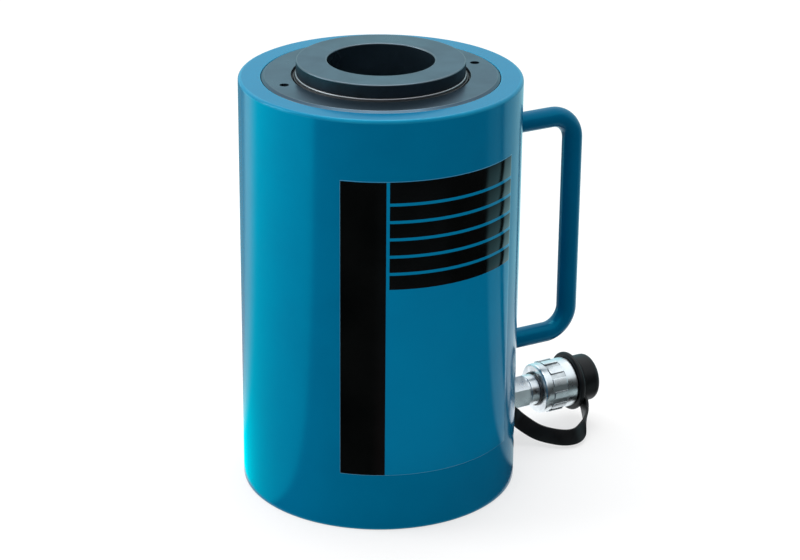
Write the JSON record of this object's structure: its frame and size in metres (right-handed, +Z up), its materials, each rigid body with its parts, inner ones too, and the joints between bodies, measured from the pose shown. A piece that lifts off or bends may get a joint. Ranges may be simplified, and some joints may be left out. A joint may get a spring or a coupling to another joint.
{
  "type": "hollow plunger hydraulic cylinder",
  "caption": "Hollow plunger hydraulic jack cylinder with a side handle, a saddle and a capped quick coupler; spring return, through hole for rod or tendon.",
  "frame": {"origin": "on the cylinder's axis, in the plane of the base face", "axes": "+Z up along the cylinder's axis, out of the saddle; +X out through the oil port, the coupler and the handle"},
  "size_m": [0.3024, 0.212, 0.3363],
  "materials": {
    "blue_paint": "gloss enamel",
    "black_oxide": "black oxide, satin",
    "ground_steel": "ground",
    "spring_steel": "oiled spring steel",
    "zinc_plate": "bright zinc plate",
    "black_rubber": "moulded, satin",
    "seal_polyurethane": "moulded",
    "backup_nylon": "plain",
    "bearing_bronze": "plain bronze-filled band"
  },
  "bodies": {
    "cylinder": {"cylinder_body": "blue_paint", "stop_ring": "black_oxide", "stop_ring_set_screw": "black_oxide", "plunger_wiper": "black_rubber", "stop_ring_bearing": "bearing_bronze", "centre_tube": "ground_steel", "tube_o_ring": "black_rubber", "tube_head_guide_ring": "bearing_bronze", "tube_circlip": "spring_steel", "return_spring": "spring_steel", "handle": "blue_paint", "port_nipple": "zinc_plate", "coupler_body": "zinc_plate", "coupler_nose_seal": "seal_polyurethane", "check_spring": "spring_steel", "sleeve_snap_ring": "spring_steel", "dust_cap_strap": "black_rubber"},
    "plunger_group": {"plunger": "ground_steel", "piston_cup_seal": "seal_polyurethane", "piston_backup_ring": "backup_nylon", "tube_cup_seal": "seal_polyurethane", "tube_backup_ring": "backup_nylon", "piston_guide_ring": "bearing_bronze", "plunger_bore_guide_ring": "bearing_bronze"},
    "saddle_group": {"saddle": "black_oxide", "saddle_o_ring": "black_rubber"},
    "sleeve_group": {"coupler_sleeve": "zinc_plate"},
    "cap_group": {"dust_cap": "black_rubber"},
    "ball_group": {"check_ball": "ground_steel"}
  },
  "joints": [
    {"name": "plunger_lift", "type": "slide", "parent": "cylinder", "child": "plunger_group", "axis": [0, 0, 1], "range_m": [0, 0.1], "stiffness_N_per_m": 4800, "springref_m": -0.06, "deforming": ["return_spring"]},
    {"name": "saddle_unscrew", "type": "slide", "parent": "plunger_group", "child": "saddle_group", "axis": [0, 0, 1], "range_m": [0, 0.03]},
    {"name": "sleeve_turn", "type": "hinge", "parent": "cylinder", "child": "sleeve_group", "pos_m": [0.159, 0, 0.0365], "axis": [1, 0, 0], "continuous": true},
    {"name": "cap_pull", "type": "slide", "parent": "cylinder", "child": "cap_group", "axis": [1, 0, 0], "range_m": [0, 0.03], "deforming": ["dust_cap_strap"]},
    {"name": "check_ball_open", "type": "slide", "parent": "cylinder", "child": "ball_group", "axis": [-1, 0, 0], "range_m": [0, 0.003], "stiffness_N_per_m": 1500, "springref_m": -0.002, "deforming": ["check_spring"]}
  ]
}
